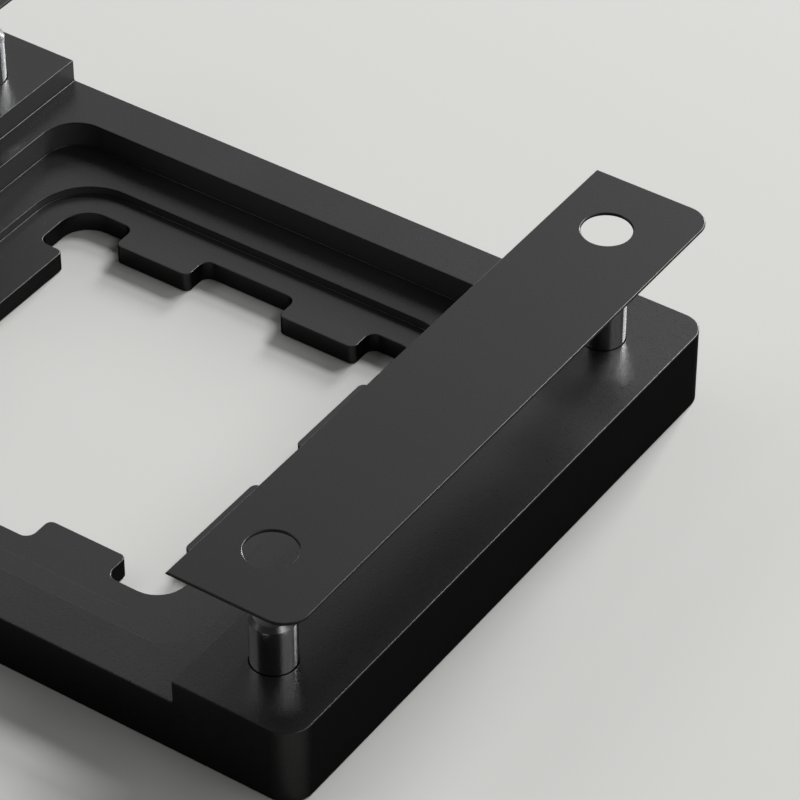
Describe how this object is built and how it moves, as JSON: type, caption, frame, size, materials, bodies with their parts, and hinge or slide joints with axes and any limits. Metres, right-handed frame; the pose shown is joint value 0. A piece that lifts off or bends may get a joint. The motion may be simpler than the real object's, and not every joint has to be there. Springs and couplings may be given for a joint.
{
  "type": "cpu socket retention frame",
  "caption": "Low-profile metal frame that presses a square processor package into its socket through tabs round a window, with its four screws and the insulating sheets of its two rails.",
  "frame": {"origin": "centre of the cooler-side face, which the frame lies on", "axes": "+X along the frame from rail to rail, +Y across it, +Z from the cooler side up to the motherboard side, where the screws stand out"},
  "size_m": [0.074, 0.0564, 0.0176],
  "materials": {
    "anodised_aluminium": "black anodised over fine bead blasting, satin",
    "steel": "polished, bright",
    "film": "black insulating film, fine satin"
  },
  "bodies": {
    "frame": {"frame": "anodised_aluminium"},
    "insulating_sheet_left": {"insulating_sheet_left": "film"},
    "insulating_sheet_right": {"insulating_sheet_right": "film"},
    "screw_back_left": {"screw_back_left": "steel"},
    "screw_back_right": {"screw_back_right": "steel"},
    "screw_front_left": {"screw_front_left": "steel"},
    "screw_front_right": {"screw_front_right": "steel"}
  },
  "joints": [
    {"name": "sheet_lift_left", "type": "slide", "parent": "frame", "child": "insulating_sheet_left", "axis": [0, 0, 1], "range_m": [-0.01032, 0]},
    {"name": "sheet_lift_right", "type": "slide", "parent": "frame", "child": "insulating_sheet_right", "axis": [0, 0, 1], "range_m": [-0.01032, 0]},
    {"name": "screw_back_left_turn", "type": "hinge", "parent": "frame", "child": "screw_back_left", "pos_m": [-0.0309, 0.02212, 0.0024], "axis": [0, 0, 1], "continuous": true},
    {"name": "screw_back_right_turn", "type": "hinge", "parent": "frame", "child": "screw_back_right", "pos_m": [0.0309, 0.02212, 0.0024], "axis": [0, 0, 1], "continuous": true},
    {"name": "screw_front_left_turn", "type": "hinge", "parent": "frame", "child": "screw_front_left", "pos_m": [-0.0309, -0.02212, 0.0024], "axis": [0, 0, 1], "continuous": true},
    {"name": "screw_front_right_turn", "type": "hinge", "parent": "frame", "child": "screw_front_right", "pos_m": [0.0309, -0.02212, 0.0024], "axis": [0, 0, 1], "continuous": true}
  ]
}
